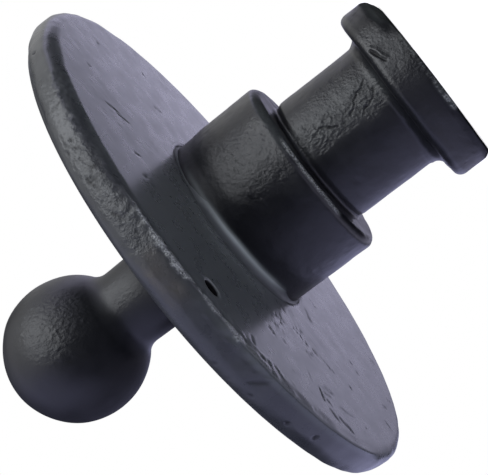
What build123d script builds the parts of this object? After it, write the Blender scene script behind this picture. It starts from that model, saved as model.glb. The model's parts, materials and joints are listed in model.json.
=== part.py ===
from build123d import *
import os
from math import radians, tan

# Kingpin-to-ball hitch adapter, in millimetres.
# The part stands on the end of its kingpin: the origin is the centre of that end face and +Z runs
# up the common axis, through the bearing disc to the top of the hitch ball.

# Kingpin: end flange, neck, collar and the spigot that goes into the disc
flange_radius = 36.5
flange_thickness = 14.8
flange_round = 3.2
neck_radius = 25.4
neck_length = 39.0
neck_flange_round = 3.8
neck_collar_round = 1.4
collar_radius = 37.0
collar_height = 38.0
collar_round = 3.2
spigot_radius = 22.0
centre_mouth_radius = 5.0
centre_angle = 60.0
centre_pilot_radius = 2.0
centre_pilot_depth = 9.0

# Bearing disc
disc_radius = 105.2
disc_thickness = 14.8
disc_lower_round = 5.2
disc_upper_round = 7.4
seat_depth = 0.5
tie_hole_radius = 3.2
tie_hole_offset = 93.0

# Welds that hold the kingpin in the disc
collar_weld_leg = 3.0
collar_weld_hollow_radius = 3.4
spigot_weld_depth = 4.0

# Ball stud: ball, stem, spanner shoulder and threaded shank (1-1/4 in shank)
ball_radius = 29.37
ball_centre_rise = 84.15
stem_base_radius = 17.2
stem_top_radius = 16.8
stem_ball_round = 10.0
stem_shoulder_round = 3.0
shoulder_radius = 26.0
shoulder_thickness = 9.0
shoulder_chamfer = 1.2
spanner_width = 46.0
shank_radius = 15.875
shank_reach = 45.0
shank_chamfer = 1.8
relief_radius = 14.6
relief_length = 4.0

# Threaded hole in the kingpin for the shank
thread_bore_spare = 4.0
thread_mouth_chamfer = 1.0
drill_point_angle = 118.0

# Spring lock washer under the shoulder
washer_inner_radius = 16.3
washer_outer_radius = 24.4
washer_thickness = 5.5
washer_gap = 2.4
washer_gap_slant = 35.0
washer_gap_angle = 130.0

# Heights along the axis
neck_start = flange_thickness
collar_start = neck_start + neck_length
disc_bottom = collar_start + collar_height
collar_seat = disc_bottom + seat_depth
disc_top = disc_bottom + disc_thickness
washer_top = disc_top + washer_thickness
shoulder_top = washer_top + shoulder_thickness
shank_end = disc_top - shank_reach
bore_end = shank_end - thread_bore_spare
ball_centre = disc_bottom + ball_centre_rise
ball_top = ball_centre + ball_radius


def rounded(face, corners):
    """The face with each (radius, height, fillet) corner of its outline rounded."""
    for radius, height, size in corners:
        corner = face.vertices().sort_by_distance((radius, height, 0))[0]
        face = fillet(corner, size)
    return face


def turned(face):
    """Solid of revolution about Z of a half section drawn as (radius, height)."""
    return revolve(Plane.XZ * face, Axis.Z)


def kingpin():
    cone_depth = (centre_mouth_radius - centre_pilot_radius) / tan(radians(centre_angle / 2))
    drill_point = shank_radius / tan(radians(drill_point_angle / 2))
    outline = Polyline(
        (0, centre_pilot_depth),
        (centre_pilot_radius, centre_pilot_depth),
        (centre_pilot_radius, cone_depth),
        (centre_mouth_radius, 0),
        (flange_radius, 0),
        (flange_radius, neck_start),
        (neck_radius, neck_start),
        (neck_radius, collar_start),
        (collar_radius, collar_start),
        (collar_radius, collar_seat),
        (spigot_radius, collar_seat),
        (spigot_radius, disc_top - spigot_weld_depth),
        (spigot_radius - spigot_weld_depth, disc_top),
        (shank_radius + thread_mouth_chamfer, disc_top),
        (shank_radius, disc_top - thread_mouth_chamfer),
        (shank_radius, bore_end),
        (0, bore_end - drill_point),
        close=True,
    )
    section = rounded(
        make_face(outline),
        [
            (flange_radius, 0, flange_round),
            (flange_radius, neck_start, flange_round),
            (neck_radius, neck_start, neck_flange_round),
            (neck_radius, collar_start, neck_collar_round),
            (collar_radius, collar_start, collar_round),
        ],
    )
    return turned(section)


def bearing_disc():
    seat_radius = collar_radius + collar_weld_leg
    outline = Polyline(
        (spigot_radius, collar_seat),
        (seat_radius, collar_seat),
        (seat_radius, disc_bottom),
        (disc_radius, disc_bottom),
        (disc_radius, disc_top),
        (spigot_radius + spigot_weld_depth, disc_top),
        (spigot_radius, disc_top - spigot_weld_depth),
        close=True,
    )
    section = rounded(
        make_face(outline),
        [
            (disc_radius, disc_bottom, disc_lower_round),
            (disc_radius, disc_top, disc_upper_round),
        ],
    )
    hole_height = disc_bottom + disc_thickness / 2
    hole = Pos(0, -tie_hole_offset, hole_height) * Cylinder(tie_hole_radius, 2 * disc_thickness)
    return turned(section) - hole


def collar_weld():
    seat_radius = collar_radius + collar_weld_leg
    upper_toe = (seat_radius, disc_bottom)
    lower_toe = (collar_radius, disc_bottom - collar_weld_leg)
    back = Polyline(lower_toe, (collar_radius, collar_seat), (seat_radius, collar_seat), upper_toe)
    hollow = RadiusArc(upper_toe, lower_toe, -collar_weld_hollow_radius)
    return turned(make_face([back, hollow]))


def spigot_weld():
    section = Polyline(
        (spigot_radius, disc_top - spigot_weld_depth),
        (spigot_radius + spigot_weld_depth, disc_top),
        (spigot_radius - spigot_weld_depth, disc_top),
        close=True,
    )
    return turned(make_face(section))


def hitch_ball():
    ball_foot = ball_centre - (ball_radius**2 - stem_top_radius**2) ** 0.5
    straight = Polyline(
        (0, ball_top),
        (0, shank_end),
        (shank_radius - shank_chamfer, shank_end),
        (shank_radius, shank_end + shank_chamfer),
        (shank_radius, washer_top - relief_length),
        (relief_radius, washer_top - relief_length),
        (relief_radius, washer_top),
        (shoulder_radius - shoulder_chamfer, washer_top),
        (shoulder_radius, washer_top + shoulder_chamfer),
        (shoulder_radius, shoulder_top - shoulder_chamfer),
        (shoulder_radius - shoulder_chamfer, shoulder_top),
        (stem_base_radius, shoulder_top),
        (stem_top_radius, ball_foot),
    )
    ball_arc = ThreePointArc((stem_top_radius, ball_foot), (ball_radius, ball_centre), (0, ball_top))
    section = rounded(
        make_face([straight, ball_arc]),
        [
            (stem_base_radius, shoulder_top, stem_shoulder_round),
            (stem_top_radius, ball_foot, stem_ball_round),
        ],
    )
    stud = turned(section)
    flat_depth = shoulder_radius - spanner_width / 2
    flat_middle = spanner_width / 2 + flat_depth / 2
    flat_height = washer_top + shoulder_thickness / 2
    for side in (-1, 1):
        cutter = Box(flat_depth, 2 * shoulder_radius, shoulder_thickness)
        stud -= Pos(side * flat_middle, 0, flat_height) * cutter
    return stud


def ball_lock_washer():
    ring_height = disc_top + washer_thickness / 2
    ring = Cylinder(washer_outer_radius, washer_thickness) - Cylinder(washer_inner_radius, washer_thickness)
    split_length = 2 * washer_thickness
    split = Box(washer_gap, washer_outer_radius, split_length)
    split = Pos(0, washer_outer_radius, 0) * Rot(0, washer_gap_slant, 0) * split
    return Pos(0, 0, ring_height) * Rot(0, 0, washer_gap_angle) * (ring - split)


pieces = {
    "kingpin": kingpin(),
    "bearing_disc": bearing_disc(),
    "collar_weld": collar_weld(),
    "spigot_weld": spigot_weld(),
    "hitch_ball": hitch_ball(),
    "ball_lock_washer": ball_lock_washer(),
}

os.makedirs("parts", exist_ok=True)
for name, piece in pieces.items():
    export_step(piece, f"parts/{name}.step")
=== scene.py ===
import json
import math
import bpy
import numpy as np
from mathutils import Matrix, Vector


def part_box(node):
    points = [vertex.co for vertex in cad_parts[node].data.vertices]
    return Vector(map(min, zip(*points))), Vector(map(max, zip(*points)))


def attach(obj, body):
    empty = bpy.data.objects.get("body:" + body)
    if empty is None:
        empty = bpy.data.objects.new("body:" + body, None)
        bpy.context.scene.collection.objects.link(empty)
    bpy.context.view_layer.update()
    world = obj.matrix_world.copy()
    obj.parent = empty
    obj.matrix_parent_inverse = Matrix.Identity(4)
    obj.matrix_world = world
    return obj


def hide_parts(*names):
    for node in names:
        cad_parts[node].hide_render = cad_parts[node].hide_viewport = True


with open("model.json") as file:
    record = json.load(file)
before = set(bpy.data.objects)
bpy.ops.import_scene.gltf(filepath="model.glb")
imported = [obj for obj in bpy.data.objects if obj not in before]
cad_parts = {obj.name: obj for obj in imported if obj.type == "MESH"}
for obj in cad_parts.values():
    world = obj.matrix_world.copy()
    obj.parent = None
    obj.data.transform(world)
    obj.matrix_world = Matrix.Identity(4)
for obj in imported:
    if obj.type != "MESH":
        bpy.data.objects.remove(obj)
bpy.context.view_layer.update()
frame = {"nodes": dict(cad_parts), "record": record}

# Kingpin-to-ball hitch adapter. It stands on the kingpin's end, +Z up through the disc to the ball.
# Shapes are worked out in millimetres and written to the meshes in metres.
# Bearing is the direction round the axis: 0 at the tie hole (-Y), 90 at +X, -90 at -X.
mm = 0.001
mounts = {mount["name"]: mount for mount in frame["record"]["mounts"]}


def boxInMm(node):
    low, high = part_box(node)
    return np.array(low) / mm, np.array(high) / mm


def linear(hexColour):
    channels = []
    for i in (1, 3, 5):
        c = int(hexColour[i:i + 2], 16) / 255
        channels.append(c / 12.92 if c <= 0.04045 else ((c + 0.055) / 1.055) ** 2.4)
    return (*channels, 1.0)


def smoothStep(value, low, high):
    t = np.clip((value - low) / (high - low), 0, 1)
    return t * t * (3 - 2 * t)


# 1 inside low..high, fading to 0 over the given distance on either side
def window(value, low, high, fade):
    return smoothStep(value, low - fade, low) * (1 - smoothStep(value, high, high + fade))


# noise in space, so that neighbouring pieces carry one surface across their joint
def cellHash(x, y, z, seed):
    h = (x * 374761393 + y * 668265263 + z * 1442695041 + seed * 974634777) & 0xFFFFFFFF
    h = ((h ^ (h >> 13)) * 1274126177) & 0xFFFFFFFF
    h = ((h ^ (h >> 16)) * 1911520717) & 0xFFFFFFFF
    return h ^ (h >> 15)


# gradient noise, about -1 to 1, with lumps about one size across
def softNoise(points, size, seed):
    p = points / size
    cell = np.floor(p).astype(np.int64)
    f = p - cell
    fade = f ** 3 * (f * (f * 6 - 15) + 10)
    total = np.zeros(len(points))
    for dx in (0, 1):
        for dy in (0, 1):
            for dz in (0, 1):
                h = cellHash(cell[:, 0] + dx, cell[:, 1] + dy, cell[:, 2] + dz, seed)
                slope = ((h & 1023) / 511.5 - 1) * (f[:, 0] - dx)
                slope = slope + (((h >> 10) & 1023) / 511.5 - 1) * (f[:, 1] - dy)
                slope = slope + (((h >> 20) & 1023) / 511.5 - 1) * (f[:, 2] - dz)
                weight = np.abs(1 - dx - fade[:, 0]) * np.abs(1 - dy - fade[:, 1])
                weight = weight * np.abs(1 - dz - fade[:, 2])
                total += weight * slope
    return total * 1.6   # brings it to about -1 to 1


def layeredNoise(points, size, seed, layers=3, keep=0.5):
    total, weight = np.zeros(len(points)), 1.0
    for i in range(layers):
        total += weight * softNoise(points, size / 2 ** i, seed + 17 * i)
        weight *= keep
    return total


# thin worm-like lines, 1 on a line and 0 away from it
def foldLines(points, size, width, seed, wander=0.5):
    drift = np.stack([softNoise(points, size * 1.3, seed + i) for i in (3, 5, 7)], 1)
    bent = points + wander * size * drift
    return np.exp(-(softNoise(bent, size, seed) / width) ** 2)


# round-bottomed pits, 0 to 1 deep, in a share of the cells of one size
def pits(points, size, share, seed):
    p = points / size
    cell = np.floor(p).astype(np.int64)
    deepest = np.zeros(len(points))
    for dx in (-1, 0, 1):
        for dy in (-1, 0, 1):
            for dz in (-1, 0, 1):
                x, y, z = cell[:, 0] + dx, cell[:, 1] + dy, cell[:, 2] + dz
                h = cellHash(x, y, z, seed)
                h2 = cellHash(x, y, z, seed + 101)
                shift = [((h >> bits) & 255) / 255 for bits in (0, 8, 16)]
                centre = np.stack([x + shift[0], y + shift[1], z + shift[2]], 1)
                reach = 0.22 + 0.3 * ((h2 >> 8) & 255) / 255
                far = np.linalg.norm(p - centre, axis=1) / reach
                bowl = np.clip(1 - far * far, 0, 1) ** 1.5
                deepest = np.maximum(deepest, np.where((h2 & 255) / 255 < share, bowl, 0))
    return deepest


def onPart(bearing, radius, height):
    angle = math.radians(bearing)
    return np.array([radius * math.sin(angle), -radius * math.cos(angle), height])


# a groove of soft section between two points, 0 to 1 deep, thinning towards its ends
def groove(points, start, end, width):
    along = end - start
    length2 = max(float(along @ along), 1e-6)
    t = np.clip((points - start) @ along / length2, 0, 1)
    away = np.linalg.norm(points - start - t[:, None] * along, axis=1)
    narrow = width * (0.55 + 0.45 * np.sin(np.pi * np.clip(t, 0.08, 0.92)))
    return np.exp(-(away / narrow) ** 2)


# rows of (radius, height) along an arc; outlines of such rows are swept round the axis
def arc(centre, radius, startAngle, endAngle, step):
    turn = math.radians(endAngle - startAngle)
    count = max(2, round(abs(turn) * radius / step))
    angles = math.radians(startAngle) + turn * np.arange(count + 1) / count
    return np.stack([centre[0] + radius * np.cos(angles), centre[1] + radius * np.sin(angles)], 1)


# corners are (radius, height, rounding, row spacing of the run that follows)
def outlineRows(corners, closed=False, arcStep=0.5):
    count = len(corners)
    runs = []
    for i in range(count):
        here, rounding = np.array(corners[i][:2], float), corners[i][2]
        if rounding:
            before = np.array(corners[i - 1][:2], float) - here
            after = np.array(corners[(i + 1) % count][:2], float) - here
            before, after = before / np.linalg.norm(before), after / np.linalg.norm(after)
            half = math.acos(max(-1, min(1, before @ after))) / 2
            middle = before + after
            centre = here + middle / np.linalg.norm(middle) * rounding / math.sin(half)
            start = here + before * rounding / math.tan(half)
            end = here + after * rounding / math.tan(half)
            a0 = math.atan2(*(start - centre)[::-1])
            a1 = math.atan2(*(end - centre)[::-1])
            turn = (a1 - a0 + math.pi) % (2 * math.pi) - math.pi
            runs.append(arc(centre, rounding, math.degrees(a0), math.degrees(a0 + turn), arcStep))
        else:
            runs.append(here[None])
    rows = []
    for i in range(count if closed else count - 1):
        rows.append(runs[i])
        a, b = runs[i][-1], runs[(i + 1) % count][0]
        pieces = max(1, round(np.linalg.norm(b - a) / corners[i][3]))
        rows.append(a + (b - a) * np.arange(1, pieces)[:, None] / pieces)
    if not closed:
        rows.append(runs[-1])
    return np.concatenate(rows)


def rowNormals(rows, closed):
    if closed:
        along = np.roll(rows, -1, 0) - np.roll(rows, 1, 0)
    else:
        along = np.gradient(rows, axis=0)
    along /= np.maximum(np.linalg.norm(along, axis=1), 1e-9)[:, None]
    return np.stack([along[:, 1], -along[:, 0]], 1)


# a grid of points with what the relief functions need to know about each
def sweep(rows, columns, closed=False):
    bearing = np.linspace(0, 2 * np.pi, columns, endpoint=False)
    normals = rowNormals(rows, closed)
    if not closed:
        normals[0] = (0, -1) if rows[0, 0] == 0 else normals[0]
        normals[-1] = (0, 1) if rows[-1, 0] == 0 else normals[-1]
    radius, height = (np.repeat(rows[:, i], columns) for i in (0, 1))
    out, up = (np.repeat(normals[:, i], columns) for i in (0, 1))
    turn = np.tile(bearing, len(rows))
    points = np.stack([radius * np.sin(turn), -radius * np.cos(turn), height], 1)
    facing = np.stack([out * np.sin(turn), -out * np.cos(turn), up], 1)
    degrees = (np.degrees(turn) + 180) % 360 - 180
    index = np.arange(len(rows) * columns).reshape(len(rows), columns)
    for end in (0, -1):
        if not closed and rows[end, 0] == 0:
            index[end] = index[end, 0]
    return {"points": points, "facing": facing, "bearing": degrees, "radius": radius,
            "height": height, "out": out, "index": index, "closed": closed}


# how far the surface of a rounded corner is from the square corner it was cut from
def cornerGap(grid, rounding):
    steepest = np.maximum(np.abs(grid["facing"][:, 2]), np.abs(grid["out"]))
    return rounding * (1 / np.maximum(steepest, 0.7) - 1)


# four-cornered faces between the rows, three-cornered ones at a pole
def gridFaces(grid, keep=None):
    index = grid["index"]
    below = index if grid["closed"] else index[:-1]
    above = np.roll(index, -1, 0) if grid["closed"] else index[1:]
    faces = np.stack([below, np.roll(below, -1, 1), np.roll(above, -1, 1), above], -1)
    faces = faces.reshape(-1, 4) if keep is None else faces[keep]
    return [list(dict.fromkeys(face)) for face in faces.tolist()]


# points that have come together are used as one, and a face that has lost its area goes
def mergedFaces(points, faces):
    same = np.unique(np.round(points, 5), axis=0, return_index=True, return_inverse=True)
    first = same[1][same[2].ravel()].tolist()
    merged = [list(dict.fromkeys(first[corner] for corner in face)) for face in faces]
    return [face for face in merged if len(face) > 2]


def meshPiece(name, points, faces, marks=None):
    used = np.zeros(len(points), bool)
    used[np.concatenate([np.array(face) for face in faces])] = True
    renumber = np.cumsum(used) - 1
    mesh = bpy.data.meshes.new(name)
    corners = [[int(renumber[i]) for i in face] for face in faces]
    mesh.from_pydata((points[used] * mm).tolist(), [], corners)
    for mark, values in (marks or {}).items():
        attribute = mesh.attributes.new(mark, "FLOAT", "POINT")
        attribute.data.foreach_set("value", values[used].astype(np.float32))
    mesh.polygons.foreach_set("use_smooth", [True] * len(mesh.polygons))
    mesh.validate()
    mesh.update()
    piece = bpy.data.objects.new(name, mesh)
    bpy.context.scene.collection.objects.link(piece)
    print(name, len(mesh.polygons), "faces")
    return piece


# a setting goes to the socket of that name or number, or else to the node itself
def addNode(tree, kind, settings=None, links=None):
    node = tree.nodes.new(kind)
    for key, value in (settings or {}).items():
        if isinstance(key, int) or key in node.inputs:
            node.inputs[key].default_value = value
        else:
            setattr(node, key, value)
    for key, source in (links or {}).items():
        tree.links.new(source, node.inputs[key])
    return node


# Gloss enamel brushed or dipped thick over black forging scale: nearly black, neutral, with a satin
# sheen. The broad softness of the highlights comes from the roughness, and their broken edges from
# the orange peel, which is 1 to 3 mm across. Sizes and depths are in millimetres.
enamel = {
    "dark": "#16171a", "light": "#1c1d20", "cloudSize": 9.0, "cloudRange": (0.35, 0.65),
    "thinned": "#c6d0cb",   # painted light: a pale grey-green laid where highlights, reflections and lit sides fall
    # worn paint, and a painted highlight on the weld's ridge and on the hole's far lip
    "scuffed": "#9c9f9c", "speckSize": 0.55, "speckRange": (0.38, 0.62),
    "dusty": "#56524a",     # brown road dust
    "sooty": "#030303",     # painted shade: black and without shine, in cracks, pits and scars, in the hole and low on the ball stud
    "smooth": 0.31, "dull": 0.40, "dullRange": (0.3, 0.7), "sootDullness": 0.45,
    "peelSize": 2.2, "peelDepth": 0.07,
    "gritSize": 0.8, "gritDepth": 0.25,   # real grit is about 0.3, drawn coarser so that it shows
}


def blackEnamel(name, finish):
    material = bpy.data.materials.new(name)
    material.use_nodes = True
    tree = material.node_tree
    tree.nodes.clear()
    place = addNode(tree, "ShaderNodeTexCoord").outputs["Object"]
    noise = {}
    for use, detail, rough in (("cloud", 3.0, 0.6), ("speck", 3.0, 0.7),
                               ("peel", 2.0, 0.5), ("grit", 2.0, 0.6)):
        noise[use] = addNode(tree, "ShaderNodeTexNoise", {
            "Scale": 1 / (finish[use + "Size"] * mm), "Detail": detail, "Roughness": rough},
            {"Vector": place}).outputs["Fac"]
    marks = {}
    for mark in ("pale", "scuff", "dust", "soot", "grit"):
        marks[mark] = addNode(tree, "ShaderNodeAttribute", {"attribute_name": mark}).outputs["Fac"]

    cloudLow, cloudHigh = finish["cloudRange"]
    cloud = addNode(tree, "ShaderNodeMapRange", {"From Min": cloudLow, "From Max": cloudHigh},
                    {"Value": noise["cloud"]})
    colour = addNode(tree, "ShaderNodeMix", {
        "data_type": "RGBA", 6: linear(finish["dark"]), 7: linear(finish["light"])},
        {0: cloud.outputs["Result"]}).outputs[2]
    speckLow, speckHigh = finish["speckRange"]
    specks = addNode(tree, "ShaderNodeMapRange", {"From Min": speckLow, "From Max": speckHigh},
                     {"Value": noise["speck"]})
    scuffed = addNode(tree, "ShaderNodeMath", {"operation": "MULTIPLY"},
                      {0: marks["scuff"], 1: specks.outputs["Result"]})
    layers = (("thinned", marks["pale"]), ("scuffed", scuffed.outputs[0]),
              ("dusty", marks["dust"]), ("sooty", marks["soot"]))
    for layer, amount in layers:   # each over the one before
        colour = addNode(tree, "ShaderNodeMix", {"data_type": "RGBA", 7: linear(finish[layer])},
                         {0: amount, 6: colour}).outputs[2]

    dullLow, dullHigh = finish["dullRange"]
    dullness = addNode(tree, "ShaderNodeMapRange", {
        "From Min": dullLow, "From Max": dullHigh, "To Min": finish["smooth"], "To Max": finish["dull"]},
        {"Value": noise["cloud"]})
    roughness = addNode(tree, "ShaderNodeMath", {"operation": "MULTIPLY_ADD", 1: finish["sootDullness"]},
                        {0: marks["soot"], 2: dullness.outputs["Result"]})
    peel = addNode(tree, "ShaderNodeBump", {"Distance": finish["peelDepth"] * mm, "Strength": 1.0},
                   {"Height": noise["peel"]})
    gritHeight = addNode(tree, "ShaderNodeMath", {"operation": "MULTIPLY"},
                         {0: marks["grit"], 1: noise["grit"]})
    grit = addNode(tree, "ShaderNodeBump", {"Distance": finish["gritDepth"] * mm, "Strength": 1.0},
                   {"Height": gritHeight.outputs[0], "Normal": peel.outputs["Normal"]})
    shader = addNode(tree, "ShaderNodeBsdfPrincipled", {"IOR": 1.5, "Metallic": 0.0}, {
        "Base Color": colour, "Roughness": roughness.outputs[0], "Normal": grit.outputs["Normal"]})
    addNode(tree, "ShaderNodeOutputMaterial", {}, {"Surface": shader.outputs["BSDF"]})
    return material


# kingpin: end flange, neck and collar in one rough forging, black enamelled
kingpin = {
    "columns": 600, "rowStep": 0.42, "collarStep": 0.45,
    "flangeRadius": 36.5, "flangeTop": 14.8, "neckRadius": 25.4, "collarStart": 53.8,
    "edgeRound": 3.2, "neckFootRound": 3.8, "collarFootRound": 1.4,
    "pilotRadius": 2.0, "pilotDepth": 9.0, "countersinkRadius": 5.0, "countersinkDepth": 5.2,
    "spigotRadius": 22.0, "weldGroove": 4.0, "seatDepth": 0.5,
    "tapRadius": 15.875, "tapChamfer": 1.0, "tapBottom": 57.6, "tapPoint": 48.1,
    "swell": 0.20, "swellSize": 19.0, "lumps": 0.07, "lumpSize": 6.0,
    "neckFuller": (0.45, 0.45), "collarFuller": (0.15, 0.40),   # all round, and what +X has on top
    "flangeBulge": 0.75, "footBulge": 0.5, "edgeWear": 1.5, "edgeSquare": 0.85,
    "neckGrain": 0.10, "foldGrain": 0.06, "flangeGrain": 0.08, "lapDepth": 0.20,
    "longLapRadius": 25.6, "longLapWidth": 0.34, "longLapDepth": 0.55,
    "peelHeight": 0.085, "pitDepth": 0.9, "pitRimHeight": 0.2, "dashHeight": 0.22, "chipDepth": 0.35,
    "burrRadius": 35.75, "burrHeight": 0.12, "burrRagged": 0.16, "dimpleDepth": 0.10,
}
discLow, discHigh = boxInMm("bearing_disc")
collarRadius = mounts["collar"]["dims"]["r_mm"]
discBottom, discTop = float(discLow[2]), float(discHigh[2])
weldLeg = float(boxInMm("collar_weld")[1][0]) - collarRadius
spigotRadius, weldGroove = kingpin["spigotRadius"], kingpin["weldGroove"]
shankRadius, tapChamfer = kingpin["tapRadius"], kingpin["tapChamfer"]
seat = discBottom + kingpin["seatDepth"]


# painted highlight: one narrow pale line where the collar's weld begins, on the kingpin and on the weld
def weldHighlightBand(points, bearing, height):
    middle = np.interp(np.abs(bearing + 16), (18, 40, 90), (88.9, 89.2, 90.2))
    middle = middle + 0.2 * softNoise(points, 9, 227)
    strength = np.interp(bearing, (-50, -34, 0, 26, 60), (0, 0.55, 0.7, 0.25, 0.0))
    return strength * np.exp(-((height - middle) / 1.0) ** 2)


kingpinRows = outlineRows([
    (0, kingpin["pilotDepth"], 0, 1), (kingpin["pilotRadius"], kingpin["pilotDepth"], 0, 1),
    (kingpin["pilotRadius"], kingpin["countersinkDepth"], 0, 1), (kingpin["countersinkRadius"], 0, 0.3, 2.2),
    (kingpin["flangeRadius"], 0, kingpin["edgeRound"], kingpin["rowStep"]),
    (kingpin["flangeRadius"], kingpin["flangeTop"], kingpin["edgeRound"], kingpin["rowStep"]),
    (kingpin["neckRadius"], kingpin["flangeTop"], kingpin["neckFootRound"], kingpin["rowStep"]),
    (kingpin["neckRadius"], kingpin["collarStart"], kingpin["collarFootRound"], kingpin["rowStep"]),
    (collarRadius, kingpin["collarStart"], kingpin["edgeRound"], kingpin["collarStep"]),
    (collarRadius, seat, 0, 5), (spigotRadius, seat, 0, 5),
    (spigotRadius, discTop - weldGroove, 0, 3), (spigotRadius - weldGroove, discTop, 0, 3),
    (shankRadius + tapChamfer, discTop, 0, 2), (shankRadius, discTop - tapChamfer, 0, 8),
    (shankRadius, kingpin["tapBottom"], 0, 5), (0, kingpin["tapPoint"], 0, 5)])
grid = sweep(kingpinRows, kingpin["columns"])
points, bearing, radius, height = (grid[key] for key in ("points", "bearing", "radius", "height"))
outside = (smoothStep(radius, 8, 16) * (height < 90)
           * np.where((radius < shankRadius + 0.5) & (height > 40), 0, 1) * (1 - smoothStep(height, 80, 87)))
onNeck = window(height, 17, 52, 3) * (radius < 30)
onCollar = window(height, 55, 84, 2) * (radius > 30)
onFlange = window(height, 0, 14, 1) * (radius > 30)

# not quite round: fuller on its +X side, worn away at the end flange's edge there
plusX = window(bearing, 62, 115, 28)
minusX = window(bearing, -125, -62, 25)
neckFuller = kingpin["neckFuller"][0] + kingpin["neckFuller"][1] * plusX
collarFuller = kingpin["collarFuller"][0] + kingpin["collarFuller"][1] * plusX
neckFoot = window(height, 13.5, 18.5, 1.5) * (1 - smoothStep(radius, 30, 33))
endGap = cornerGap(grid, kingpin["edgeRound"]) * (height < 4) * (radius > 31)
fullness = (window(height, 16.5, 50, 3) * (1 - smoothStep(radius, 27, 29.5)) * neckFuller
            + window(height, 57, 84, 3) * smoothStep(radius, 33, 36) * collarFuller
            + kingpin["flangeBulge"] * plusX * window(height, 6, 13.5, 5) * smoothStep(radius, 33, 36)
            + kingpin["footBulge"] * minusX * neckFoot
            - kingpin["edgeWear"] * plusX * (1 - smoothStep(height, 0.3, 5)) * smoothStep(radius, 30, 35)
            + kingpin["edgeSquare"] * window(bearing, -60, 42, 16) * endGap)

# leathery skin left by the forging dies, with cracks wandering along the neck, deepest beside the flange
ragged = bearing + 5 * layeredNoise(points, 6, 69, 3)
leather = window(ragged, 15, 56, 7) * onNeck * (0.45 + 0.55 * (1 - smoothStep(height, 34, 50)))
lapPlace = window(ragged, 15, 33, 5) * onNeck
grain = foldLines(points, 1.25, 0.40, 71, 0.6)
laps = foldLines(points * (1, 1, 0.75), 2.0, 0.22, 41, 0.8) * lapPlace
# the long cracks, in runs from (bearing, height) to (bearing, height)
longLaps = ((37, 19.0, 32, 24), (32, 24, 24.5, 28), (24.5, 28, 18.4, 32.6), (18.4, 32.6, 18.4, 36.2),
            (18.4, 36.2, 27.4, 42.3), (27.4, 42.3, 24.8, 46.7), (29.8, 18.6, 20, 21), (20, 21, 15.5, 27))
nudged = points + 0.7 * softNoise(points, 2.6, 61)[:, None]
lapRadius = kingpin["longLapRadius"]
longLap = np.maximum.reduce([
    groove(nudged, onPart(a, lapRadius, h), onPart(c, lapRadius, k), kingpin["longLapWidth"])
    for a, h, c, k in longLaps])
flangeSkin = window(bearing, 12, 52, 8) * onFlange
grainDepth = (kingpin["neckGrain"] * leather + kingpin["foldGrain"] * lapPlace
              + kingpin["flangeGrain"] * flangeSkin)
peelPlace = window(ragged, 12, 52, 9) * onCollar * (1 - 0.7 * smoothStep(height, 70, 84))
peel = layeredNoise(points, 1.1, 83, 2) - 0.9 * foldLines(points * (1, 1, 1.3), 1.3, 0.34, 87, 0.8)
pitCore = np.maximum(groove(points, onPart(39, 36.5, 11.9), onPart(33, 36.5, 10.7), 0.55),
                     groove(points, onPart(33, 36.5, 10.7), onPart(28, 36.5, 9.5), 0.35) * 0.7)
pitRim = groove(points, onPart(40, 36.5, 11.2), onPart(30, 36.5, 9.3), 1.0)
chips = (pits(points, 1.4, 0.7, 67) * window(bearing, -14, 30, 6)
         * window(height, 0.1, 1.7, 0.5) * (radius > 34))
dashes = np.maximum(groove(points, onPart(17, 37, 74.4), onPart(13, 37, 74.8), 0.5),
                    groove(points, onPart(9, 37, 72.4), onPart(5, 37, 72.8), 0.5))
# the collar's lower edge is upset into a thin rough burr on the side towards the tie hole
burrEdge = kingpin["burrRadius"] + 0.25 * softNoise(points, 4, 93)
burr = (window(bearing, -20, 24, 9) * (1 - smoothStep(np.abs(radius - burrEdge), 0.35, 0.85))
        * (height < 56) * (height > 50))
# paint rubbed thin along the end flange's edge; a painted highlight where the collar's weld begins, and a
# little painted light in four places: the end flange's edge, the neck's lit side, the +X foot of the end
# flange and the collar's end face
rubbedEdge = (window(height, 0.3, 1.6, 0.5) * (radius > 34)
              * smoothStep(layeredNoise(points, 1.4, 95, 2), -0.5, 0.2)
              * (window(bearing, -14, 0, 4) + 0.3 * window(bearing, 4, 34, 6)))
weldHighlightOnPin = weldHighlightBand(points, bearing, height) * (radius > 36) * (height > 80)
paintedLight = (0.05 * window(bearing, -13, 0, 4) * window(height, 0.3, 1.8, 0.8) * (radius > 34)
             + 0.028 * window(bearing, 22, 34, 15) * onNeck
             + 0.07 * window(bearing, 60, 100, 15) * (1 - smoothStep(height, 2, 6)) * (radius > 30)
             + 0.05 * window(bearing, 30, 75, 15) * window(height, 53, 56, 1.5) * (radius > 29))
swell = (kingpin["swell"] * layeredNoise(points, kingpin["swellSize"], 11, 2)
         + kingpin["lumps"] * layeredNoise(points, kingpin["lumpSize"], 23, 2))
relief = (swell - 0.04 + fullness
          - grainDepth * grain - kingpin["lapDepth"] * laps - kingpin["longLapDepth"] * longLap
          + kingpin["peelHeight"] * peelPlace * peel
          - kingpin["pitDepth"] * pitCore + kingpin["pitRimHeight"] * pitRim
          + kingpin["dashHeight"] * dashes - kingpin["chipDepth"] * chips
          + burr * (kingpin["burrHeight"] + kingpin["burrRagged"] * layeredNoise(points, 1.1, 91, 2))
          - kingpin["dimpleDepth"] * pits(points, 5.0, 0.3, 97))
grid["points"] = points + grid["facing"] * (relief * outside)[:, None]
grid["points"][:, 2] = np.maximum(grid["points"][:, 2], 0.0)
# painted shade: black laid in the long laps, the laps, the pit's core and the leather grain
kingpinSkin = meshPiece("kingpin_skin", grid["points"], gridFaces(grid), {
    "grit": np.clip(0.06 + 0.5 * peelPlace + 0.8 * burr + 0.7 * leather + 0.4 * flangeSkin, 0, 1),
    "scuff": np.clip(burr + 0.3 * chips + 0.85 * rubbedEdge, 0, 1),
    "pale": np.clip(weldHighlightOnPin + paintedLight, 0, 1),
    "soot": np.clip(0.75 * longLap + 0.25 * laps + pitCore + 0.12 * leather * grain, 0, 1)})
kingpinSkin.data.materials.append(blackEnamel("blackEnamelOnForging", enamel))
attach(kingpinSkin, "root")
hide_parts("kingpin")


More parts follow.
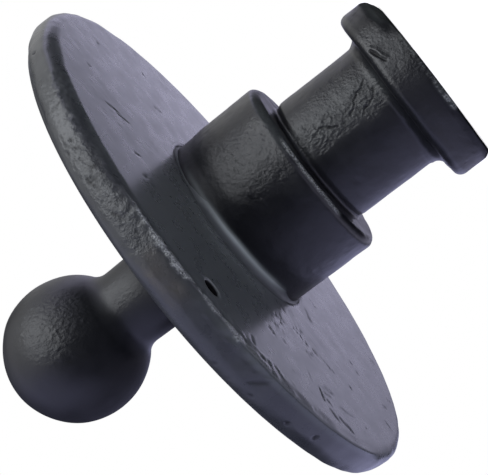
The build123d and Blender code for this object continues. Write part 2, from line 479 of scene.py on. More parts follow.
# bearing disc: plate with rounded rims and one tie hole
disc = {
    "columns": 1040, "faceStep": 1.35, "topStep": 1.9, "holeStep": 0.52, "rimStep": 0.6,
    "radius": 105.2, "lowerRound": 5.2, "upperRound": 7.4, "clearance": 0.02,
    "holeRadius": 3.2, "holeOffset": 93.0,
    "holeBand": (87.0, 97.4),   # the rows that are fine enough for the hole
    "wallLevels": (0.0, 0.04, 0.15, 0.4, 0.7, 0.88, 0.96, 1.0),   # rings of points in the hole's wall
    "rimSwell": 0.26, "rimSwellSize": 13.0, "faceSwell": 0.06, "faceSwellSize": 40.0,
    "torchedDepth": 0.22, "wrinkleDepth": 0.25, "fineHeight": 0.08, "jaggedHeight": 0.25,
    "squareCorner": 0.75, "upperFuller": 0.3, "upperSofter": 0.2,
    "lipHeight": 0.26, "farLipHeight": 0.35, "lumpHeight": 0.35, "crackDepth": 0.35, "rimPitDepth": 0.55,
    "pockDepth": 0.3, "mottleDepth": 0.06, "biteDepth": 0.5, "dimpleDepth": 0.05,
    "spatterHeight": 0.10, "grainHeight": 0.12, "fineCrackDepth": 0.14,
}
discRadius = disc["radius"]
holeLow, holeHigh = disc["holeBand"]
discRows = outlineRows([
    (collarRadius + weldLeg / 2, discBottom, 0, disc["faceStep"]),
    (holeLow, discBottom, 0, disc["holeStep"]), (holeHigh, discBottom, 0, disc["rimStep"]),
    (discRadius, discBottom, disc["lowerRound"], disc["rimStep"]),
    (discRadius, discTop, disc["upperRound"], disc["rimStep"]),
    (holeHigh, discTop, 0, disc["holeStep"]), (holeLow, discTop, 0, disc["topStep"]),
    (spigotRadius + weldGroove, discTop, 0, 2), (spigotRadius, discTop - weldGroove, 0, 4),
    (spigotRadius, seat, 0, 8), (collarRadius + weldLeg / 2, seat, 0, 1)], closed=True)
grid = sweep(discRows, disc["columns"], closed=True)
points, bearing, radius, height = (grid[key] for key in ("points", "bearing", "radius", "height"))
middle = (discBottom + discTop) / 2

# the hole: faces inside it go, the points round it move onto its circle
holeCentre = np.array([0.0, -disc["holeOffset"]])
fromHole = points[:, :2] - holeCentre
holeDistance = np.linalg.norm(fromHole, axis=1)
onFace = (np.abs(height - discBottom) < 1e-6) | (np.abs(height - discTop) < 1e-6)
index = grid["index"]
nextColumn = np.roll(index, -1, 1)
corners = np.stack([index, nextColumn, np.roll(nextColumn, -1, 0), np.roll(index, -1, 0)], -1)
centres = points[corners].mean(2)
inside = np.linalg.norm(centres[..., :2] - holeCentre, axis=-1) < disc["holeRadius"]
inside &= onFace[corners].all(-1)
edgePoints = np.zeros(len(points), bool)
edgePoints[corners[inside].ravel()] = True
keptPoints = np.zeros(len(points), bool)
keptPoints[corners[~inside].ravel()] = True
edgePoints &= keptPoints
tooClose = onFace & (holeDistance < disc["holeRadius"] + 0.4)
newDistance = np.where(tooClose, disc["holeRadius"] + 0.3, holeDistance)
newDistance = np.where(edgePoints, disc["holeRadius"], newDistance)
moved = onFace & (holeDistance < disc["holeRadius"] + 0.8)
stretch = (newDistance / np.maximum(holeDistance, 1e-6))[moved, None]
points[moved, :2] = holeCentre + fromHole[moved] * stretch
holeDistance = np.where(moved, newDistance, holeDistance)

rim = smoothStep(radius, 99.5, 103.5)
outside = smoothStep(radius, 41, 50) * (radius > 40.5)
topSide = (height > middle) & (radius < 98)
outside = np.where(topSide, smoothStep(radius, 28, 36), outside)

# rim: torched and rough beside the hole, with folds about 1.3 mm across, then smooth further round
roughPlace = window(bearing, 15, 31, 8) * window(height, 94.5, 100.5, 1.5) * rim
gritty = foldLines(points, 1.15, 0.36, 131, 0.7)
wrinkled = window(bearing, 24, 46, 6) * window(height, 95.5, 102, 1.5) * rim
wrinkles = foldLines(points, 6.0, 0.05, 137, 0.9) * wrinkled
finer = layeredNoise(points, 1.5, 141, 2) * window(bearing, 4, 50, 8) * rim * window(height, 93, 103, 2)
jagged = (layeredNoise(points, 2.4, 147, 3) * window(bearing, 12, 50, 6)
          * window(radius, 101.5, 105.3, 1) * (height < 97))
# the lower corner is nearly square towards the tie hole, and the upper one softer on the +X side
lowerGap = cornerGap(grid, disc["lowerRound"]) * (radius > 98) * (height < middle)
upperGap = cornerGap(grid, disc["upperRound"]) * (radius > 97) * (height > middle)
squareCorner = disc["squareCorner"] * window(bearing, -46, 15, 13) * lowerGap
upperCorner = (disc["upperFuller"] * window(bearing, -90, -45, 15)
               - disc["upperSofter"] * window(bearing, 50, 95, 20)) * upperGap
# the rubbed lip runs along the lower corner past the hole and swells in five places
lipMiddle = 103.4 - 0.03 * np.abs(bearing - 10) + 0.35 * softNoise(points, 8, 187)
lipMiddle = lipMiddle + 0.3 * softNoise(points, 2, 189)
lipHalf = np.full(len(points), 0.25)
for low, high, fade, more in ((5, 12.5, 2, 0.55), (15, 19, 2, 0.2), (-3.2, 0.2, 1, 0.40),
                              (-8.5, -5.5, 1.5, 0.55), (-16, -9, 3, 0.3)):
    lipHalf += more * window(bearing, low, high, fade)
lipEdge = np.abs(radius - lipMiddle)
lipStrength = np.interp(bearing, (-20, -12, -8.5, 18, 24), (0.0, 0.35, 1.0, 1.0, 0.0))
lip = (1 - smoothStep(lipEdge, lipHalf * 0.7, lipHalf * 1.25)) * lipStrength * (height < middle)
lumps = (softNoise(points, 3.2, 151) * window(bearing, -19, 0, 3)
         * window(radius, 99, 104.5, 1.5) * (height < 95.5))
# cracks run from (bearing, height) to (bearing, height), then width and strength
cracks = np.maximum.reduce([
    groove(points, onPart(a, 105, h), onPart(c, 105, k), width) * strength
    for a, h, c, k, width, strength in (
        (36.4, 102, 34.4, 99.4, 0.45, 1), (34.4, 99.4, 33.0, 96.4, 0.45, 1),
        (-15.5, 99.5, -18.2, 94.5, 0.7, 0.8), (28.0, 100.5, 25.0, 98.8, 0.5, 1),
        (21.0, 100.0, 18.5, 97.4, 0.5, 1))])
rimPits = np.maximum.reduce([
    groove(points, onPart(a, 105, h), onPart(a + 0.4, 105, h), width)
    for a, h, width in (
        (-34.4, 98.3, 0.9), (-27.5, 100.6, 0.8), (-18.4, 102.2, 0.8), (35.6, 98.6, 0.7), (33.9, 101.9, 0.9),
        (-9.9, 104.0, 1.4), (-13.4, 104.4, 1.3), (62, 99.5, 0.8), (118, 97, 1.0), (-152, 100, 1.1))])

# underside: mill scale scars, each (bearing, radius) to (bearing, radius), then width and depth
scars = (
    (55.4, 79.5, 56.2, 73, 0.6, 0.20), (54.8, 73.5, 55.8, 68, 0.55, 0.20), (104, 58, 110, 56, 0.6, 0.18),
    (38, 75.5, 38.3, 72, 0.6, 0.18), (-20.6, 71.5, -23, 74.2, 0.7, 0.28), (-86, 42, -76, 46.3, 0.7, 0.3),
    (-84, 43.8, -76, 47.6, 0.5, 0.22), (-12, 94.5, -12.6, 98.5, 0.8, 0.25),
    (-42.5, 54.4, -45.8, 57.7, 0.5, 0.2), (-54.8, 64, -59.5, 70, 0.55, 0.22),
    (-37.9, 85.5, -37.3, 91, 0.6, 0.28), (-39.3, 83.6, -46.4, 83.2, 0.55, 0.24),
    (-38.8, 86.4, -44.9, 84.6, 0.5, 0.24), (-42.6, 81.8, -46.8, 83.4, 0.6, 0.26),
    (-39.3, 89.7, -40.4, 91.2, 0.6, 0.28), (-38.4, 94.3, -40.3, 98, 0.7, 0.32),
    (-41.9, 95.6, -45.5, 99.2, 0.9, 0.36), (-45.8, 88.4, -51.8, 90.6, 0.5, 0.2),
    (-26.2, 71, -29, 73.2, 0.45, 0.16), (-35.4, 78.3, -35, 86, 0.4, 0.13), (-110, 46, -106, 49, 0.5, 0.18),
    (-78, 94, -77.7, 98.4, 0.6, 0.24), (28.5, 79, 30.5, 76.5, 0.6, 0.2), (25.5, 77, 28.5, 75, 0.6, 0.2),
    (150, 72, 153, 66, 0.7, 0.2), (-150, 84, -147, 78, 0.6, 0.2), (170, 88, 174, 90, 0.6, 0.2))
# pocks: bearing, radius and width
pocks = (
    (-29.7, 56.2, 0.9), (-31.3, 59.2, 0.8), (-44.2, 43.6, 0.8), (-71.7, 67.5, 0.8), (-89.3, 70.6, 0.7),
    (-87.2, 75.1, 0.7), (-67.1, 76, 0.7), (-77.5, 78.4, 0.6), (-57, 94, 0.8), (12, 70, 0.7), (120, 80, 0.9),
    (95, 88, 0.8), (-130, 62, 0.9), (-170, 75, 0.8), (70, 86, 0.6), (62, 66, 0.5))
under = height < discBottom + 1.2
warped = points + 0.5 * np.stack([softNoise(points, 3.0, 161 + i) for i in range(3)], 1)
scarring = np.zeros(len(points))
near = under & (radius > 40)
for a, r, c, s, width, depth in scars:
    scarring[near] = np.maximum(scarring[near], depth * groove(
        warped[near], onPart(a, r, discBottom), onPart(c, s, discBottom), width))
for a, r, width in pocks:
    spot = onPart(a, r, discBottom)
    pock = groove(warped[near], spot, spot + 0.01, width)
    scarring[near] = np.maximum(scarring[near], disc["pockDepth"] * pock)
mottled = window(bearing, -75, -25, 12) * window(radius, 40, 60, 6) * under
# grains of weld spatter on the underside and on the lower corner
spatter = (pits(points, 2.2, 0.3, 207) * under
           * np.maximum(window(bearing, 44, 60, 6) * window(radius, 50, 84, 6),
                        0.8 * window(bearing, -30, -8, 6) * window(radius, 84, 98, 4)))
grains = (pits(points, 2.2, 0.3, 307) * (height < discBottom + 2) * window(bearing, -38, -13, 6)
          * window(radius, 97.5, 104.5, 2))
fineCracks = (foldLines(points, 2.6, 0.09, 311, 0.9) * under
              * window(bearing, -50, -24, 8) * window(radius, 44, 64, 6)
              * smoothStep(layeredNoise(points, 6, 313, 2), 0.0, 0.35))
bites = (pits(points, 7.0, 0.5, 171) * disc["biteDepth"]
         * window(bearing, -112, -88, 6) * window(radius, 93, 101, 2) * under)

relief = (disc["rimSwell"] * rim * (layeredNoise(points, disc["rimSwellSize"], 101, 2) - 0.4)
          + disc["faceSwell"] * (1 - rim) * layeredNoise(points, disc["faceSwellSize"], 111, 2)
          - disc["torchedDepth"] * gritty * roughPlace - disc["wrinkleDepth"] * wrinkles
          + disc["fineHeight"] * finer + disc["jaggedHeight"] * jagged
          + squareCorner + upperCorner
          + disc["lipHeight"] * lip * (0.5 + layeredNoise(points, 1.1, 181, 2)) + disc["lumpHeight"] * lumps
          - disc["crackDepth"] * cracks * rim - disc["rimPitDepth"] * rimPits * rim
          - scarring - disc["mottleDepth"] * mottled * (1 + layeredNoise(points, 2.6, 191, 2)) - bites
          - disc["dimpleDepth"] * pits(points, 6.0, 0.12, 201) * (1 - rim) * (height > middle)
          + disc["spatterHeight"] * spatter + disc["grainHeight"] * grains
          - disc["fineCrackDepth"] * fineCracks)
calm = np.clip((holeDistance - 3.4) / 2.5, 0, 1)   # the relief dies away towards the hole
farLip = window(holeDistance, 3.5, 4.3, 0.5) * onFace * smoothStep(points[:, 1], -93, -91) * under
relief = relief * outside * np.where(onFace, calm, 1) + disc["farLipHeight"] * farLip
discPoints = points + grid["facing"] * relief[:, None]
reach = np.linalg.norm(discPoints[:, :2], axis=1)
tooFar = np.maximum(reach / (discRadius - disc["clearance"]), 1)
discPoints[:, :2] /= tooFar[:, None]

# the hole's wall: rings of points between the two circles
faces = gridFaces(grid, ~inside)
rowCount = len(discRows)
holeRows = []
for faceHeight in (discBottom, discTop):
    holeRows.append([j for j in range(rowCount) if abs(discRows[j, 1] - faceHeight) < 1e-6
                     and holeLow - 1e-6 <= discRows[j, 0] <= holeHigh + 1e-6])
partner = {}
for low, high in zip(holeRows[0], holeRows[1][::-1]):
    for column in range(disc["columns"]):
        if edgePoints[index[low, column]]:
            partner[int(index[low, column])] = int(index[high, column])
levels = disc["wallLevels"]
wall = {}
extra = []
for low, high in partner.items():
    column = [low]
    for level in levels[1:-1]:
        column.append(len(discPoints) + len(extra))
        extra.append(discPoints[low] * (1 - level) + discPoints[high] * level)
    wall[low] = column + [high]
lostFaces = corners[inside & (centres[..., 2] < middle)].tolist()
lostEdges = dict.fromkeys((a, b) for face in lostFaces for a, b in zip(face, face[1:] + face[:1]))
for a, b in lostEdges:
    if (b, a) not in lostEdges:   # an edge of the hole
        for k in range(len(levels) - 1):
            faces.append([wall[a][k], wall[b][k], wall[b][k + 1], wall[a][k + 1]])
allPoints = np.concatenate([discPoints, np.array(extra)])
roadDust = (window(bearing, 4, 10, 4) * window(height, 96, 101, 2.5) * rim
            * (0.22 + 0.28 * smoothStep(layeredNoise(points, 7, 193, 2), -0.6, 0.6)))
# painted shade: black laid in the torched folds, wrinkles, cracks, pits, scars and fine cracks
recessShade = (0.30 * gritty * roughPlace + 0.4 * wrinkles + 0.5 * cracks * rim
        + 0.9 * rimPits * rim + 1.5 * scarring + 0.5 * fineCracks)
# painted light: the underside drawn paler, and the lower corner paler on the -X side
paintedLight = (0.083 * under * (1 - rim)
             + 0.07 * smoothStep(lowerGap, 0.1, 1.0) * window(bearing, -150, -14, 20))
# scuff for the worn lip and grains, and a painted highlight on the hole's far lip
discMarks = {
    "grit": np.clip(0.8 * roughPlace + 0.4 * wrinkled + 0.6 * lip + 0.12 * rim, 0, 1),
    "scuff": np.maximum.reduce([lip, 0.6 * farLip, 0.5 * grains]),
    "pale": paintedLight, "dust": roadDust, "soot": np.clip(recessShade, 0, 1)}
for mark, values in discMarks.items():   # the hole's wall gets full painted shade and none of the others
    discMarks[mark] = np.concatenate([values, np.full(len(extra), 1.0 if mark == "soot" else 0.0)])
discSkin = meshPiece("disc_skin", allPoints, faces, discMarks)
# painted light: the plate's enamel is a lighter grey than the other pieces', to brighten its shaded
# underside
discSkin.data.materials.append(blackEnamel("blackEnamelOnPlate", dict(
    enamel, dark="#303234", light="#393b3c", smooth=0.25, dull=0.32, peelSize=3.4, peelDepth=0.0)))
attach(discSkin, "root")
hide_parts("bearing_disc")


# the collar's weld, a dressed fillet; its section is a quarter circle that touches the collar and the
# disc, and beyond both toes it dives under them
weld = {
    "columns": 460, "toeRun": 1.2, "toeDepth": 0.15, "backDepth": 0.5,
    "swell": 0.12, "swellSize": 7.0, "sunken": 1.15, "ridgeHeight": 0.05, "ridgeWidth": 0.45,
}
hollow = arc((collarRadius + weldLeg, discBottom - weldLeg), weldLeg, 180, 90, 0.4)
lowerTail = (collarRadius - weld["toeDepth"], discBottom - weldLeg - weld["toeRun"])
upperTail = (collarRadius + weldLeg + weld["toeRun"], discBottom + weld["toeDepth"])
weldBack = collarRadius - weld["backDepth"]
weldRows = np.concatenate([[lowerTail], hollow, [
    upperTail, (collarRadius + weldLeg, seat), (weldBack, seat), (weldBack, discBottom - weldLeg)]])
grid = sweep(weldRows, weld["columns"], closed=True)
points, bearing, radius, height = (grid[key] for key in ("points", "bearing", "radius", "height"))
crown = np.sin(np.pi * np.linspace(0, 1, len(hollow)))
seen = np.repeat(np.concatenate([[0], crown, np.zeros(4)]), weld["columns"])
# a narrow raised ridge carrying a painted highlight, low on the side towards the tie hole and higher to
# either side
ridge = np.interp(np.abs(bearing + 16), (18, 45, 90), (discBottom - 2.6, discBottom - 1.3, discBottom - 0.6))
ridge = ridge + 0.25 * softNoise(points, 9, 227)
onRidge = np.exp(-((height - ridge) / weld["ridgeWidth"]) ** 2) * (seen > 0)
sunken = smoothStep(np.abs(bearing + 10), 32, 62)   # hollower away from the tie hole
relief = (seen * (weld["swell"] * layeredNoise(points, weld["swellSize"], 221, 3) - weld["sunken"] * sunken)
          + weld["ridgeHeight"] * onRidge)
# painted highlight on the ridge, and painted light over the whole weld and along its start
weldSkin = meshPiece("collar_weld_skin", points + grid["facing"] * relief[:, None], gridFaces(grid), {
    "grit": np.full(len(points), 0.1),
    "scuff": 0.15 * onRidge * window(bearing, -34, 26, 14),
    "pale": np.clip(0.075 + weldHighlightBand(points, bearing, height), 0, 1)})
weldMaterial = blackEnamel("blackEnamelOnWeld", dict(
    enamel, dark="#2a2c2e", light="#303235", smooth=0.44, dull=0.54,
    speckSize=4.0, peelSize=2.4, peelDepth=0.04))
weldSkin.data.materials.append(weldMaterial)
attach(weldSkin, "root")
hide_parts("collar_weld")
# the ground weld on the ball side keeps its CAD mesh
spigotWeld = frame["nodes"]["spigot_weld"]
spigotWeld.data.materials.clear()
spigotWeld.data.materials.append(weldMaterial)


# ball stud: ball, stem, shoulder with two spanner flats, and shank
ball = {
    "columns": 440, "rowStep": 0.6,
    "radius": mounts["hitch_ball"]["dims"]["r_mm"], "centre": mounts["hitch_ball"]["pos_m"][2] / mm,
    "shankEnd": 61.6, "shankEndRadius": 14.075, "shankChamfer": 1.8,
    "reliefRadius": 14.6, "reliefLength": 4.0,
    "shoulderRadius": 26.0, "shoulderThickness": 9.0, "chamfer": 1.2, "spanner": 46.0,
    "stemBase": 17.2, "stemTop": 16.8, "stemRound": 3.0, "ballFillet": 10.0,
    "swell": 0.14, "swellSize": 21.0, "sideFuller": 0.45,
    "patchFolds": 0.22, "patchPeel": 0.07, "stemFolds": 0.09, "dimpleDepth": 0.08,
}
washerLow, washerHigh = boxInMm("ball_lock_washer")
shoulderLow = float(washerHigh[2])
shoulderTop = shoulderLow + ball["shoulderThickness"]
chamferRadius = ball["shoulderRadius"] - ball["chamfer"]
filletR = ball["stemTop"] + ball["ballFillet"]
filletZ = ball["centre"] - math.sqrt((ball["radius"] + ball["ballFillet"]) ** 2 - filletR ** 2)
meet = math.degrees(math.atan2(ball["centre"] - filletZ, -filletR))
lower = outlineRows([
    (0, ball["shankEnd"], 0, 5), (ball["shankEndRadius"], ball["shankEnd"], 0, 2),
    (shankRadius, ball["shankEnd"] + ball["shankChamfer"], 0, 9),
    (shankRadius, shoulderLow - ball["reliefLength"], 0, 2),
    (ball["reliefRadius"], shoulderLow - ball["reliefLength"], 0, 2),
    (ball["reliefRadius"], shoulderLow, 0, 3), (chamferRadius, shoulderLow, 0.3, 0.6),
    (ball["shoulderRadius"], shoulderLow + ball["chamfer"], 0.5, 0.8),
    (ball["shoulderRadius"], shoulderTop - ball["chamfer"], 0.5, 0.6),
    (chamferRadius, shoulderTop, 0.5, 0.8),
    (ball["stemBase"], shoulderTop, ball["stemRound"], ball["rowStep"]),
    (ball["stemTop"], filletZ, 0, 1)])
fillet = arc((filletR, filletZ), ball["ballFillet"], 180, meet, 0.5)[1:]
sphere = arc((0, ball["centre"]), ball["radius"], meet - 180, 90, ball["rowStep"])[1:]
sphere[-1] = (0, ball["centre"] + ball["radius"])
grid = sweep(np.concatenate([lower, fillet, sphere]), ball["columns"])
points, bearing, radius, height = (grid[key] for key in ("points", "bearing", "radius", "height"))
outside = smoothStep(height, shoulderTop + 0.5, shoulderTop + 4)
patch = 1 - smoothStep(np.linalg.norm(points - onPart(35, 27, 168), axis=1), 8, 20)
onStem = window(height, 118, 146, 3) * window(bearing, 14, 52, 9)
relief = (ball["swell"] * layeredNoise(points, ball["swellSize"], 11, 2) - 0.05
          + ball["sideFuller"] * smoothStep(height, 146, 156) * (1 - smoothStep(height, 188, 200))
          - ball["patchFolds"] * foldLines(points, 1.6, 0.36, 241, 0.7) * patch
          + ball["patchPeel"] * layeredNoise(points, 1.3, 83, 2) * patch
          - ball["stemFolds"] * foldLines(points, 1.4, 0.34, 251) * onStem
          - ball["dimpleDepth"] * pits(points, 6.5, 0.12, 261))
ballPoints = points + grid["facing"] * (relief * outside)[:, None]
# spanner flats: points past a flat slide in towards the axis until they lie on it
onShoulder = (height > shoulderLow - 0.1) & (height < shoulderTop + 0.1)
flat = onShoulder & (np.abs(ballPoints[:, 0]) > ball["spanner"] / 2)
ballPoints[flat, :2] *= (ball["spanner"] / 2 / np.abs(ballPoints[flat, 0]))[:, None]
# painted shade: black laid on the stem, all round near the disc and higher up its -X side, and on that side
# of the ball
shadeSpot = 1 - smoothStep(np.linalg.norm(points - onPart(-62, 29, 171), axis=1), 8, 24)
soot = (0.85 * (1 - smoothStep(height, 120, 144)) + 0.55 * shadeSpot
        + 0.8 * window(bearing, -110, -48, 18) * (1 - smoothStep(height, 128, 152)))
ballSkin = meshPiece("ball_skin", ballPoints, mergedFaces(ballPoints, gridFaces(grid)), {
    "grit": np.clip(0.05 + 0.6 * patch + 0.4 * onStem, 0, 1), "soot": np.clip(soot, 0, 0.9)})
ballSkin.data.materials.append(blackEnamel("blackEnamelOnBall", dict(
    enamel, smooth=0.38, dull=0.48, peelSize=3.2, peelDepth=0.04)))
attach(ballSkin, "root")
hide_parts("hitch_ball")


# spring lock washer, a bar bent round with a slanted split
washer = {
    "inner": 16.3, "outer": 24.4, "edge": 0.7,
    "steps": 150, "gap": 2.4, "slant": 35.0, "splitBearing": -50.0,
}
bottom, top = float(washerLow[2]), float(washerHigh[2])
section = outlineRows([
    (washer["inner"], bottom, washer["edge"], 1), (washer["outer"], bottom, washer["edge"], 1),
    (washer["outer"], top, washer["edge"], 1), (washer["inner"], top, washer["edge"], 1)],
    closed=True, arcStep=0.35)
sectionCount = len(section)
split = math.radians(270.0 + washer["splitBearing"])   # angle from +X
slant = math.radians(washer["slant"])
washerPoints = []
for share in np.linspace(0, 1, washer["steps"]):
    for r, z in section:
        lean = (z - (bottom + top) / 2) * math.tan(slant) / r
        half = washer["gap"] / 2 / math.cos(slant) / r
        angle = split + lean + half + share * (2 * math.pi - 2 * half)
        washerPoints.append((r * math.cos(angle), r * math.sin(angle), z))
washerPoints = np.array(washerPoints)
faces = []
for i in range(washer["steps"] - 1):
    a, b = i * sectionCount, (i + 1) * sectionCount
    for k in range(sectionCount):
        n = (k + 1) % sectionCount
        faces.append([b + k, b + n, a + n, a + k])
last = (washer["steps"] - 1) * sectionCount
faces.append(list(range(sectionCount)))
faces.append([last + k for k in reversed(range(sectionCount))])
washerSkin = meshPiece("lock_washer_skin", washerPoints, faces, {"grit": np.full(len(washerPoints), 0.2)})
washerSkin.data.materials.append(blackEnamel("blackEnamelOnSpringSteel", dict(
    enamel, peelSize=1.6, peelDepth=0.05)))
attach(washerSkin, "root")
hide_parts("ball_lock_washer")
print("pieces made")


# stage: pale floor. Gloss sees a painted shadow, the floor drawn dark round the part, in front of it and far
# to its -X side, and a painted pale glow elsewhere. Camera rays see the lit floor as white and keep the
# shadow.
floorPaper = {
    "size": 8.0, "colour": "#e4e4e6", "darkToGloss": "#303030",
    "squeeze": (0.62, 1, 1), "darkCentre": (0.124, 0.08, 0), "darkReach": (0.18, 0.24),
    "frontFade": (-0.25, -0.05), "sideFade": (-0.58, -0.04),   # along Y and along X, in metres
    "cameraGlow": 0.75, "glossGlow": 0.60, "glossTint": (1.0, 0.95, 1.34, 1),
}
floorMesh = bpy.data.meshes.new("floor")
half = floorPaper["size"] / 2
floorCorners = [(-half, -half, 0), (half, -half, 0), (half, half, 0), (-half, half, 0)]
floorMesh.from_pydata(floorCorners, [], [[0, 1, 2, 3]])
floor = bpy.data.objects.new("floor", floorMesh)
bpy.context.scene.collection.objects.link(floor)
floorMaterial = bpy.data.materials.new("matteWhiteFloor")
floorMaterial.use_nodes = True
tree = floorMaterial.node_tree
tree.nodes.clear()
path = addNode(tree, "ShaderNodeLightPath")
spot = addNode(tree, "ShaderNodeTexCoord").outputs["Object"]
floorAxes = addNode(tree, "ShaderNodeSeparateXYZ", {}, {"Vector": spot})
squeezed = addNode(tree, "ShaderNodeVectorMath", {"operation": "MULTIPLY", 1: floorPaper["squeeze"]},
                   {0: spot})
fromPart = addNode(tree, "ShaderNodeVectorMath", {"operation": "DISTANCE", 1: floorPaper["darkCentre"]},
                   {0: squeezed.outputs[0]})
fades = {}
for use, measure in (("darkReach", fromPart.outputs["Value"]), ("frontFade", floorAxes.outputs["Y"]),
                     ("sideFade", floorAxes.outputs["X"])):
    fades[use] = addNode(tree, "ShaderNodeMapRange", {
        "From Min": floorPaper[use][0], "From Max": floorPaper[use][1],
        "interpolation_type": "SMOOTHSTEP"}, {"Value": measure}).outputs["Result"]
sides = addNode(tree, "ShaderNodeMath", {"operation": "MULTIPLY"},
                {0: fades["frontFade"], 1: fades["sideFade"]})
openFloor = addNode(tree, "ShaderNodeMath", {"operation": "MULTIPLY"},
                    {0: fades["darkReach"], 1: sides.outputs[0]})
inGloss = addNode(tree, "ShaderNodeMath", {"operation": "MAXIMUM"}, {
    0: path.outputs["Is Glossy Ray"], 1: path.outputs["Is Transmission Ray"]})
glossOpen = addNode(tree, "ShaderNodeMath", {"operation": "MULTIPLY"},
                    {0: inGloss.outputs[0], 1: openFloor.outputs[0]})
glossDark = addNode(tree, "ShaderNodeMath", {"operation": "SUBTRACT"},
                    {0: inGloss.outputs[0], 1: glossOpen.outputs[0]})
paperColour = addNode(tree, "ShaderNodeMix", {
    "data_type": "RGBA", 6: linear(floorPaper["colour"]), 7: linear(floorPaper["darkToGloss"])},
    {0: glossDark.outputs[0]})
floorShader = addNode(tree, "ShaderNodeBsdfDiffuse", {}, {"Color": paperColour.outputs[2]}).outputs[0]
for glow, tint, seenBy in ((floorPaper["cameraGlow"], (1, 1, 1, 1), path.outputs["Is Camera Ray"]),
                           (floorPaper["glossGlow"], floorPaper["glossTint"], glossOpen.outputs[0])):
    strength = addNode(tree, "ShaderNodeMath", {"operation": "MULTIPLY", 1: glow}, {0: seenBy})
    light = addNode(tree, "ShaderNodeEmission", {"Color": tint}, {"Strength": strength.outputs[0]})
    floorShader = addNode(tree, "ShaderNodeAddShader", {}, {0: floorShader, 1: light.outputs[0]}).outputs[0]
addNode(tree, "ShaderNodeOutputMaterial", {}, {"Surface": floorShader})
floor.data.materials.append(floorMaterial)

# soft surroundings: walls by bearing, dark on the camera's side, bright and cool on the -X side and pale
# grey on the +X side, and a ceiling that is dark on the -X side
surroundings = {
    "walls": ((-180, "#c8c8c8"), (-144, "#dcdcdc"), (-124, "#e8e8e8"), (-104, "#ececec"), (-84, "#ececec"),
              (-64, "#e6e6e6"), (-44, "#d4d4d4"), (-29, "#949494"), (-14, "#484848"), (6, "#282828"),
              (26, "#3c3c3c"), (41, "#808080"), (56, "#b0b0b0"), (76, "#d0d0d0"), (116, "#e4e4e4"),
              (136, "#e4e4e4"), (156, "#d0d0d0"), (180, "#c0c0c0")),
    "ceiling": ("#404040", "#dcdcdc"), "ceilingDirection": (0.5, -0.87, 0),
    "coolSide": (0.88, 0.89, 1.40, 1), "warmSide": (1.0, 1.0, 1.0, 1),
    "ceilingStart": (0.24, 0.52), "ceilingFade": (-0.5, 0.1), "warmFade": (-0.15, 0.45),
}
world = bpy.data.worlds.new("softStudio")
bpy.context.scene.world = world
world.use_nodes = True
tree = world.node_tree
tree.nodes.clear()
direction = addNode(tree, "ShaderNodeTexCoord").outputs["Generated"]
axes = addNode(tree, "ShaderNodeSeparateXYZ", {}, {"Vector": direction})
backwards = addNode(tree, "ShaderNodeMath", {"operation": "MULTIPLY", 1: -1.0}, {0: axes.outputs["Y"]})
turn = addNode(tree, "ShaderNodeMath", {"operation": "ARCTAN2"},
               {0: axes.outputs["X"], 1: backwards.outputs[0]})
along = addNode(tree, "ShaderNodeMapRange", {"From Min": -math.pi, "From Max": math.pi},
                {"Value": turn.outputs[0]})
walls = addNode(tree, "ShaderNodeValToRGB", {}, {"Fac": along.outputs["Result"]})
stops = walls.color_ramp.elements
while len(stops) < len(surroundings["walls"]):
    stops.new(0.5)
for i, (angle, colour) in enumerate(surroundings["walls"]):
    stops[i].position = (angle + 180) / 360
    stops[i].color = linear(colour)
towards = addNode(tree, "ShaderNodeVectorMath", {
    "operation": "DOT_PRODUCT", 1: surroundings["ceilingDirection"]}, {0: direction})
fades = {}
for use, measure in (("ceilingStart", axes.outputs["Z"]), ("ceilingFade", towards.outputs["Value"]),
                     ("warmFade", axes.outputs["X"])):
    fades[use] = addNode(tree, "ShaderNodeMapRange", {
        "From Min": surroundings[use][0], "From Max": surroundings[use][1],
        "interpolation_type": "SMOOTHSTEP"}, {"Value": measure}).outputs["Result"]
ceiling = addNode(tree, "ShaderNodeMix", {
    "data_type": "RGBA", 6: linear(surroundings["ceiling"][0]), 7: linear(surroundings["ceiling"][1])},
    {0: fades["ceilingFade"]})
grey = addNode(tree, "ShaderNodeMix", {"data_type": "RGBA"},
               {0: fades["ceilingStart"], 6: walls.outputs["Color"], 7: ceiling.outputs[2]})
tint = addNode(tree, "ShaderNodeMix", {
    "data_type": "RGBA", 6: surroundings["coolSide"], 7: surroundings["warmSide"]}, {0: fades["warmFade"]})
sky = addNode(tree, "ShaderNodeMix", {"data_type": "RGBA", "blend_type": "MULTIPLY", 0: 1.0},
              {6: grey.outputs[2], 7: tint.outputs[2]})
worldPath = addNode(tree, "ShaderNodeLightPath")
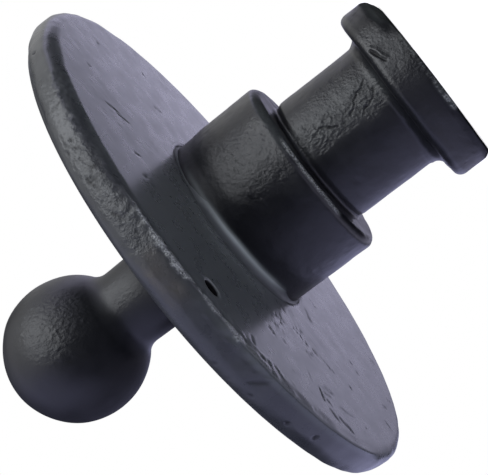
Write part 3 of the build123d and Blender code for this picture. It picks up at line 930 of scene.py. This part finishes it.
backdrop = addNode(tree, "ShaderNodeMix", {"data_type": "RGBA", 7: (1, 1, 1, 1)},
                   {0: worldPath.outputs["Is Camera Ray"], 6: sky.outputs[2]})
background = addNode(tree, "ShaderNodeBackground", {"Strength": 1.0}, {"Color": backdrop.outputs[2]})
addNode(tree, "ShaderNodeOutputWorld", {}, {"Surface": background.outputs[0]})

# one large soft box to the right of the camera
softBox = {
    "bearing": 61, "elevation": 16, "distance": 1.15, "aim": (0, 0, 0.1),
    "width": 1.35, "height": 1.1, "radiance": 3.1, "colour": "#f5f9ff",
}
lamp = bpy.data.lights.new("keySoftBox", "AREA")
lamp.shape = "ELLIPSE"
lamp.size = softBox["width"]
lamp.size_y = softBox["height"]
# watts that give that radiance over the ellipse
lamp.energy = softBox["radiance"] * math.pi * softBox["width"] * softBox["height"] * math.pi / 4
lamp.color = linear(softBox["colour"])[:3]
holder = bpy.data.objects.new("keySoftBox", lamp)
aim = Vector(softBox["aim"])
away, above = math.radians(softBox["bearing"]), math.radians(softBox["elevation"])
holder.location = aim + softBox["distance"] * Vector((
    math.sin(away) * math.cos(above), -math.cos(away) * math.cos(above), math.sin(above)))
holder.rotation_euler = (aim - holder.location).to_track_quat("-Z", "Y").to_euler()
holder.visible_camera = False
bpy.context.scene.collection.objects.link(holder)

view = {
    "from": (0.04525, -0.40463, 0.00859), "towards": (-0.1217, 0.9713, 0.2042),
    "up": (0.7715, 0.2220, -0.5963), "lens": 79.1, "sensor": 36.0, "clipStart": 0.01,
}
cameraData = bpy.data.cameras.new("camera")
cameraData.lens = view["lens"]
cameraData.sensor_width = view["sensor"]
cameraData.clip_start = view["clipStart"]
camera = bpy.data.objects.new("camera", cameraData)
bpy.context.scene.collection.objects.link(camera)
look = Vector(view["towards"]).normalized()
side = look.cross(Vector(view["up"])).normalized()
turned = Matrix((side, side.cross(look), -look)).transposed().to_4x4()
camera.matrix_world = Matrix.Translation(Vector(view["from"])) @ turned
bpy.context.scene.camera = camera
bpy.context.scene.view_settings.view_transform = "Standard"

print("scene ready")
